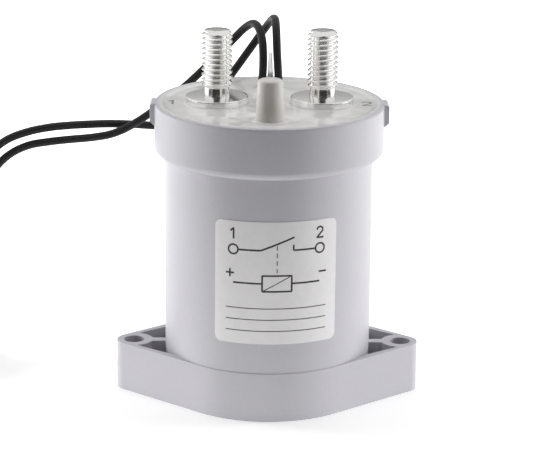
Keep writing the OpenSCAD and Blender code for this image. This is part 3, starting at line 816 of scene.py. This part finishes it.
@dataclass
class Lead:
    """One flying lead of the coil: its free run, its stored turns and its stripped end."""

    side: str
    route: list[Place]
    turn_r: float
    tail_r: float
    nodes: tuple[str, ...]
    length: float = 380.0
    diameter: float = 2.6
    stripped: float = 6.0
    centre: Pair = (-109.9, 22.5)
    top_z: float = 4.8
    low_z: float = 2.1
    wind_step: float = 15.0
    wind_end: float = 840.0
    drop_ends: Pair = (300.0, 360.0)
    draw_ends: Pair = (585.0, 645.0)
    sides: int = 20
    step: float = 0.9
    strand_count: int = 7
    strand_twist: float = 14.0
    strand_r: float = 0.62
    strand_bulge: float = 0.12
    strand_sides: int = 6
    strand_rows: int = 40
    overlap: float = 1.0
    slant: Place = (0.6, 0.5, 0.62)

    def stored_turns(self) -> np.ndarray:
        """Wind the unseen length clockwise: one turn on top, a ramp down, and one turn below.

        At angle a the lead is at (x + r cos a, y - r sin a). The height falls by a smooth step
        before a full turn is done, and the tail draws in to its own radius inside the turns.

        Returns:
            Points at even angles, after the route's last point.
        """
        degrees = np.arange(self.wind_step, self.wind_end, self.wind_step)
        angle = np.radians(degrees)
        z = self.top_z + (self.low_z - self.top_z) * soft_step(degrees, *self.drop_ends)
        radius = self.turn_r + (self.tail_r - self.turn_r) * soft_step(degrees, *self.draw_ends)
        return np.stack([*polar(radius, -angle, self.centre), z], axis=1)

    def build(self) -> None:
        """The sleeve is a circle carried along the path, and the end a ring of strands that twists
        as it goes.
        """
        line = smooth_path(np.vstack([np.array(self.route, float), self.stored_turns()]))
        count = int(self.length / self.step)
        path = spaced(line, np.linspace(0.0, self.length, count + 1))
        sleeve = self.tube(path, round_section(self.diameter / 2, self.sides))
        piece = sleeve.piece(f"lead_{self.side}_sleeve", SLEEVE_BLACK)
        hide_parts(*self.nodes)

        bare_at = np.linspace(self.length - self.overlap, self.length + self.stripped, self.strand_rows)
        angle = np.linspace(0.0, FULL_TURN, self.strand_sides * self.strand_count + 1)
        twist = np.radians(self.strand_twist) * (bare_at - bare_at[0])[:, None]
        bulge = np.abs(np.cos(self.strand_count / 2 * (angle - twist)))
        radius = self.strand_r + self.strand_bulge * bulge
        section = np.stack(polar(radius, angle), axis=-1)
        bare = self.tube(spaced(line, bare_at), section)
        strands = bare.piece(f"lead_{self.side}_strands", STRAND_TIN, SOFT_CREASE)

    def tube(self, path: np.ndarray, section: np.ndarray) -> Surface:
        """Carry a section along a path, squared up by one slanted direction that no lead follows.

        Args:
            path: points of shape (n, 3).
            section: closed section, of shape (k, 2) or (n, k, 2).

        Returns:
            The closed tube.
        """
        along = unit(np.gradient(path, axis=0))
        slant = unit(np.array(self.slant))
        side = unit(slant - along * (along @ slant)[:, None])
        return swept(path, side, np.cross(along, side), section)


@dataclass
class Housing:
    """The moulded body: barrel, collar and flange, with its edges eased."""

    ease: float = 0.35
    steps: int = 3
    weld: float = 0.001
    flat_within: float = 0.05
    crease: float = 35.0

    def build(self) -> None:
        """Copy the solid's mesh, merge its triangles into clean faces and bevel its sharp edges."""
        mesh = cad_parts["housing"].data.copy()
        mesh.name = "housing_moulding"
        shell = bmesh.new()
        shell.from_mesh(mesh)
        bmesh.ops.remove_doubles(shell, verts=shell.verts, dist=self.weld * MM)
        flat = math.radians(self.flat_within)
        bmesh.ops.dissolve_limit(shell, angle_limit=flat, verts=shell.verts, edges=shell.edges)
        shell.to_mesh(mesh)
        shell.free()
        piece = dressed("housing_moulding", mesh, HOUSING_GREY, self.crease)
        bevel = piece.modifiers.new("eased edges", "BEVEL")
        bevel.width = self.ease * MM
        bevel.segments = self.steps
        bevel.limit_method = "ANGLE"
        bevel.angle_limit = math.radians(self.crease)
        piece.modifiers.new("even shading", "WEIGHTED_NORMAL")
        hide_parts("housing")


@dataclass
class Terminal:
    """A main terminal: stub, round bus-bar seat, undercut and threaded stud."""

    side: str
    x: float
    stub_r: float = 7.0
    stub_z: float = 77.0
    seat_r: float = SEAT_R
    seat_low_z: float = 90.5
    seat_z: float = 95.5
    neck_r: float = 3.75
    thread_z: float = 98.2
    tip_z: float = 116.1
    crest_r: float = 4.7625
    pitch: float = 1.5875
    depth: float = 0.82
    point: float = 0.96
    middle: float = 0.47
    swell: float = 0.60
    chamfer: float = 0.9
    crown: float = 0.14
    taper: float = 0.3
    low_ease: float = 0.3
    seat_ease: float = 0.25
    neck_ease: float = 0.2
    tip_ring: float = 0.5
    sides: int = 72
    rows_per_pitch: int = 12
    face_rows: int = 24

    def thread(self) -> np.ndarray:
        """Work out the threaded length, with rows that climb one pitch in each turn.

        The radius is a cosine wave of the height less the angle, in pitches, drawn into straight
        flanks by an arc sine and cut off at crest and root. A cone from the undercut and one at
        the tip cut the thread's two ends.

        Returns:
            Grid of points, of shape (rows, sides + 1, 3).
        """
        turn = np.linspace(0.0, 1.0, self.sides + 1)
        pitches = math.ceil((self.tip_z - self.thread_z) / self.pitch) + 1
        rows = np.arange(-self.rows_per_pitch, pitches * self.rows_per_pitch + 1)
        row = rows[:, None] / self.rows_per_pitch
        z = np.clip(self.thread_z + self.pitch * (row + turn), self.thread_z, self.tip_z)
        swing = np.cos(FULL_TURN * ((z - self.thread_z) / self.pitch - turn))
        straight = np.arcsin(self.point * swing) / math.asin(self.point)
        wave = np.clip(self.middle + self.swell * straight, 0.0, 1.0)
        radius = self.crest_r - self.depth * (1.0 - wave)
        radius = np.minimum(radius, self.neck_r + z - self.thread_z)
        radius = np.minimum(radius, self.crest_r - self.chamfer + self.tip_z - z)
        return np.stack([*polar(radius, FULL_TURN * turn, (self.x, 0.0)), z], axis=-1)

    def build(self) -> None:
        """Turn the stub with its seat, and stack undercut, thread and flat tip into the stud.

        The seat's face falls with the square of the distance from the middle.
        """
        at = (self.x, 0.0)
        edge_z = self.seat_z - self.crown
        low = eased(
            np.array([
                (0.0, self.stub_z), (self.stub_r, self.stub_z), (self.stub_r, self.seat_low_z),
                (self.seat_r, self.seat_low_z), (self.seat_r, edge_z), (0.0, edge_z),
            ]),
            [0, self.low_ease, 0, self.low_ease, self.seat_ease, 0],
        )
        reach = np.linspace(low[-2, 0], 0.0, self.face_rows)
        face = np.stack([reach, self.seat_z - self.crown * (reach / low[-2, 0]) ** 2], axis=1)
        low = np.concatenate([low[:-2], face])
        faced = replace(SEAT_PLATE, name=f"faced tin plate {self.side}", centre=at)
        body = Surface.grid(turned(low, at, self.sides))
        seat = body.piece(f"terminal_{self.side}_seat", faced, ROUND_CREASE)
        neck = eased(
            np.array([
                (0.0, self.seat_low_z), (self.neck_r + self.taper, self.seat_low_z),
                (self.neck_r + self.taper, self.seat_z), (self.neck_r, self.thread_z),
            ]),
            [0, 0, self.neck_ease, 0],
        )
        tip_r = self.crest_r - self.chamfer
        tip = np.array([(tip_r, self.tip_z), (self.tip_ring * tip_r, self.tip_z), (0.0, self.tip_z)])
        grid = np.concatenate([turned(neck, at, self.sides), self.thread(), turned(tip, at, self.sides)])
        bright = replace(TIN_PLATE, name=f"bright tin plate {self.side}", centre=at)
        stud = Surface.grid(grid).piece(f"terminal_{self.side}_stud", bright, ROUND_CREASE)
        for piece in (seat, stud):
            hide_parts(f"terminal_{self.side}")


@dataclass
class Resin:
    """The cast resin in the top: nearly level, drawn up where it wets things, run out over the rim."""

    radius: float = 33.13
    low_z: float = 84.0
    level_z: float = RESIN_Z
    film_r: float = 34.45
    film_z: float = 93.54
    film_low_z: float = 93.46
    climb_ends: Pair = (31.8, 33.5)
    # height, steps of angle per millimetre along X and Y, and starts of the two low waves
    cross_wave: tuple[float, Pair, Pair] = (0.05, (0.37, 0.31), (0.6, -0.8))
    slant_wave: tuple[float, Pair] = (0.03, (0.22, 0.71))
    # x, y, radius, climb and reach of each thing that stands in the resin
    wetted: list[tuple[float, ...]] = field(default_factory=lambda: [
        (-STUD_X, 0.0, SEAT_R, 0.35, 0.5),
        (STUD_X, 0.0, SEAT_R, 0.35, 0.5),
        (0.0, CAP_Y, CAP_R, 0.45, 0.6),
        (-2.4, 20.0, 1.3, 0.4, 0.5),
        (3.0, 20.0, 1.3, 0.4, 0.5),
        (0.3, 20.0, 1.1, 0.3, 0.4),
    ])
    mark_x: float = 30.3
    mark_size: float = 1.35
    mark_width: float = 0.65
    mark_ends: Pair = (-0.05, 0.03)
    rings: int = 120
    sides: int = 288

    def height(self, x: np.ndarray, y: np.ndarray) -> np.ndarray:
        """Give the surface's height: low crossed waves, plus a climb that fades with distance.

        Near the rim it goes over, by a smooth step of the distance from the middle, to a thin film.

        Args:
            x: places along X.
            y: places along Y.

        Returns:
            Heights at those places.
        """
        tall, step, start = self.cross_wave
        z = self.level_z + tall * np.sin(step[0] * x + start[0]) * np.cos(step[1] * y + start[1])
        tall, step = self.slant_wave
        z = z + tall * np.sin(step[1] * y + step[0] * x)
        for at_x, at_y, radius, climb, reach in self.wetted:
            away = np.maximum(np.hypot(x - at_x, y - at_y) - radius, 0.0)
            z = z + climb * np.exp(-away / reach)
        return z + (self.film_z - z) * soft_step(np.hypot(x, y), *self.climb_ends)

    def build(self) -> None:
        """Spread a polar grid over the top, then turn it in under the film, down the wall and under."""
        ring = self.film_r * np.linspace(0.0, 1.0, self.rings + 1)
        top = turned(np.stack([ring, 0 * ring], axis=1), (0.0, 0.0), self.sides)
        top[..., 2] = self.height(top[..., 0], top[..., 1])
        below = np.array([
            (self.film_r, self.film_low_z), (self.radius, self.film_low_z),
            (self.radius, self.low_z), (0.0, self.low_z),
        ])
        under = turned(below, (0.0, 0.0), self.sides)
        piece = Surface.grid(np.concatenate([top, under])).piece("resin_fill", RESIN_GREY, ROUND_CREASE)
        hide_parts("potting")
        self.mark()

    def mark(self) -> None:
        """Print plain figures 1 and 2 on the resin beside the studs, following its surface."""
        figures = []
        for figure, at_x in ((FIGURE_1, -self.mark_x), (FIGURE_2, self.mark_x)):
            flat = drawn_line(moved(figure, at_x, 0.0, self.mark_size), self.mark_width, *self.mark_ends)
            points = flat.points.copy()
            points[:, 2] += self.height(points[:, 0], points[:, 1])
            figures.append(Surface(points, flat.faces))
        Surface.joined(figures).piece("terminal_marks", MARK_GREY)


@dataclass
class FillCap:
    """The tapered cap over the sealed fill tube."""

    y: float = CAP_Y
    low_z: float = 90.1
    level_z: float = RESIN_Z
    top_z: float = 105.9
    foot_r: float = CAP_R
    top_r: float = 3.8
    dome: float = 0.15
    flat_share: float = 0.6
    foot_ease: float = 0.4
    top_ease: float = 0.9
    flat_ease: float = 0.5
    ease_steps: int = 9
    sides: int = 64

    def build(self) -> None:
        """Turn the cap's outline: straight in the resin, tapered above, with a soft top edge."""
        outline = eased(
            np.array([
                (0.0, self.low_z), (self.foot_r, self.low_z), (self.foot_r, self.level_z),
                (self.top_r, self.top_z - self.dome), (self.flat_share * self.top_r, self.top_z),
                (0.0, self.top_z),
            ]),
            [0, 0, self.foot_ease, self.top_ease, self.flat_ease, 0],
            self.ease_steps,
        )
        grid = turned(outline, (0.0, self.y), self.sides)
        piece = Surface.grid(grid).piece("fill_cap", CAP_GREY, SOFT_CREASE)
        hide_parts("fill_tube_cap")


@dataclass
class Label:
    """A white film label wrapped on the barrel, with a plain wiring diagram on it."""

    inner_r: float = 32.36
    thick: float = 0.15
    width: float = 39.0
    low_z: float = 25.2
    tall: float = 38.8
    corner: float = 2.2
    turn: float = 4.5
    ink: float = 0.02
    sunk: float = 0.3
    bold: float = 0.55
    fine: float = 0.28
    pole_x: float = 13.5
    pole_r: float = 1.5
    contact_y: float = 10.5
    figure_at: Pair = (13.6, 15.5)
    gap_half: float = 5.0
    blade_end: Pair = (5.2, 14.6)
    stop_y: float = 12.2
    coil_half: Pair = (4.5, 2.5)
    sign_at: Pair = (14.5, 3.0)
    sign_half: float = 1.3
    dash: float = 1.4
    dashes_y: Place = (3.4, 12.0, 2.4)
    rule_half: float = 15.8
    rules_y: Place = (-8.0, -11.6, -15.2)
    columns: int = 48
    corner_rows: int = 9
    circle_sides: int = 32

    def wrapped(self, across: np.ndarray, rise: np.ndarray, radius: np.ndarray) -> np.ndarray:
        """Lay flat label places on the barrel: the distance across becomes an angle.

        Args:
            across: distances from the label's middle.
            rise: heights from the label's middle.
            radius: distances from the barrel's axis.

        Returns:
            Points of the same shape with a last axis of 3.
        """
        angle = math.radians(self.turn) + across / self.inner_r
        z = self.low_z + self.tall / 2 + rise
        return np.stack(np.broadcast_arrays(radius * np.sin(angle), -radius * np.cos(angle), z), axis=-1)

    def build(self) -> None:
        """Make the film: rows that narrow round the corners, carried over the face and back under it."""
        bend = np.linspace(0.0, math.pi / 2, self.corner_rows)
        half, flat = self.tall / 2 - self.corner, self.width / 2 - self.corner
        rise = half + self.corner * np.sin(bend)
        reach = flat + self.corner * np.cos(bend)
        rise = np.concatenate([-rise[::-1], rise])
        reach = np.concatenate([reach[::-1], reach])
        share = np.linspace(-1.0, 1.0, self.columns + 1)
        share = np.concatenate([share, share[::-1], share[:1]])
        out = np.concatenate([np.ones(self.columns + 1), np.zeros(self.columns + 1), [1.0]])
        edge = np.full((1, len(share)), self.thick / 2)
        lift = np.concatenate([edge, self.thick * np.tile(out, (len(rise), 1)), edge])
        rise, reach = np.pad(rise, 1, "edge"), np.pad(reach, 1, "edge")
        grid = self.wrapped(reach[:, None] * share, rise[:, None], self.inner_r + lift)
        piece = Surface.grid(grid).piece("label_film", LABEL_WHITE)
        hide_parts("label")
        self.print_diagram()

    def stroke(self, corners: list[Pair], width: float) -> Surface:
        """Draw one ink line on the film.

        Args:
            corners: places across and up from the label's middle.
            width: the line's width.

        Returns:
            The line, wrapped on the barrel with the film.
        """
        flat = drawn_line(corners, width, -self.sunk * self.ink, self.ink)
        radius = self.inner_r + self.thick + flat.points[:, 2]
        return Surface(self.wrapped(flat.points[:, 0], flat.points[:, 1], radius), flat.faces)

    def print_diagram(self) -> None:
        """Print a plain wiring diagram: an open contact above a coil, and ruled lines below."""
        pole, level, gap = self.pole_x, self.contact_y, self.gap_half
        wide, tall = self.coil_half
        sign, sign_y = self.sign_at
        half = self.sign_half
        circle = round_section(self.pole_r, self.circle_sides)
        lines = []
        for way, figure in ((-1, FIGURE_1), (1, FIGURE_2)):
            lines += [
                (moved(circle, way * pole, level), self.bold),
                (moved(figure, way * self.figure_at[0], self.figure_at[1]), self.bold),
                ([(way * (pole - self.pole_r), level), (way * gap, level)], self.bold),
                ([(way * pole, 0.0), (way * wide, 0.0)], self.bold),
                ([(way * sign - half, sign_y), (way * sign + half, sign_y)], self.bold),
            ]
        lines += [
            ([(-sign, sign_y - half), (-sign, sign_y + half)], self.bold),
            ([(-gap, level), self.blade_end], self.bold),
            ([(gap, level), (gap, self.stop_y)], self.bold),
            ([(-wide, -tall), (wide, -tall), (wide, tall), (-wide, tall), (-wide, -tall)], self.bold),
            ([(-wide, -tall), (wide, tall)], self.fine),
        ]
        lines += [([(0.0, y), (0.0, y + self.dash)], self.fine) for y in np.arange(*self.dashes_y)]
        lines += [([(-self.rule_half, y), (self.rule_half, y)], self.fine) for y in self.rules_y]
        strokes = [self.stroke(corners, width) for corners, width in lines]
        Surface.joined(strokes).piece("label_print", LABEL_INK)


@dataclass
class CoilSpring:
    """A coil spring with closed ends."""

    node: str
    body: str
    joint: str
    travel: float
    low_z: float
    high_z: float
    held_z: float
    mean_d: float
    wire: float
    turns: int
    steps: int = 40
    sides: int = 12

    def path(self) -> np.ndarray:
        """Wind the wire's centre line, a circle seen from above.

        It climbs by one wire in the first and in the last turn, so the ends lie closed, and evenly
        between them.

        Returns:
            Points of shape (n, 3).
        """
        turn = np.linspace(0.0, self.turns, self.turns * self.steps + 1)
        half, end = 0.5 * self.wire, 1.5 * self.wire
        z = np.interp(
            turn,
            [0.0, 1.0, self.turns - 1.0, self.turns],
            [self.low_z + half, self.low_z + end, self.high_z - end, self.high_z - half],
        )
        return np.stack([*polar(0.5 * self.mean_d, FULL_TURN * turn), z], axis=1)

    def build(self) -> None:
        """Carry a circle along the wire's line, and give the piece a mesh of its own."""
        path = self.path()
        outward = unit(path * np.array([1.0, 1.0, 0.0]))
        across = np.cross(unit(np.gradient(path, axis=0)), outward)
        wire = swept(path, outward, across, round_section(0.5 * self.wire, self.sides))
        piece = wire.piece(f"{self.node}_wire", SPRING_STEEL, body=self.body)
        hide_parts(self.node)
        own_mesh(piece)


def dress_solids() -> None:
    """Give every solid that is shown as built its own finish."""
    for name, finish in [(name, finish) for finish, names in SOLIDS.items() for name in names]:
        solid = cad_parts[name]
        if not solid.material_slots:
            solid.data.materials.append(None)
        for slot in solid.material_slots:
            slot.material = finish.material()
        log.info("%s: solid, %s", name, finish.name)


def main() -> None:
    """Build the studio and every sub-assembly, in order."""
    logging.basicConfig(level=logging.INFO, format="%(message)s")
    Studio().build()
    Lead("left", LEFT_ROUTE, turn_r=16.4, tail_r=16.4, nodes=("lead_left", "lead_coil")).build()
    Lead("right", RIGHT_ROUTE, turn_r=13.6, tail_r=10.8, nodes=("lead_right",)).build()
    Housing().build()
    Resin().build()
    Terminal("left", -STUD_X).build()
    Terminal("right", STUD_X).build()
    FillCap().build()
    Label().build()
    CoilSpring(
        node="return_spring", body=BODY, joint="plunger_slide", travel=2.8,
        low_z=18.65, high_z=35.5, held_z=35.5, mean_d=9.2, wire=1.1, turns=7,
    ).build()
    CoilSpring(
        node="contact_spring", body="plunger", joint="bridge_slide", travel=0.7,
        low_z=61.9, high_z=68.9, held_z=61.9, mean_d=10.4, wire=1.2, turns=5,
    ).build()
    dress_solids()


if __name__ == "__main__":
    main()
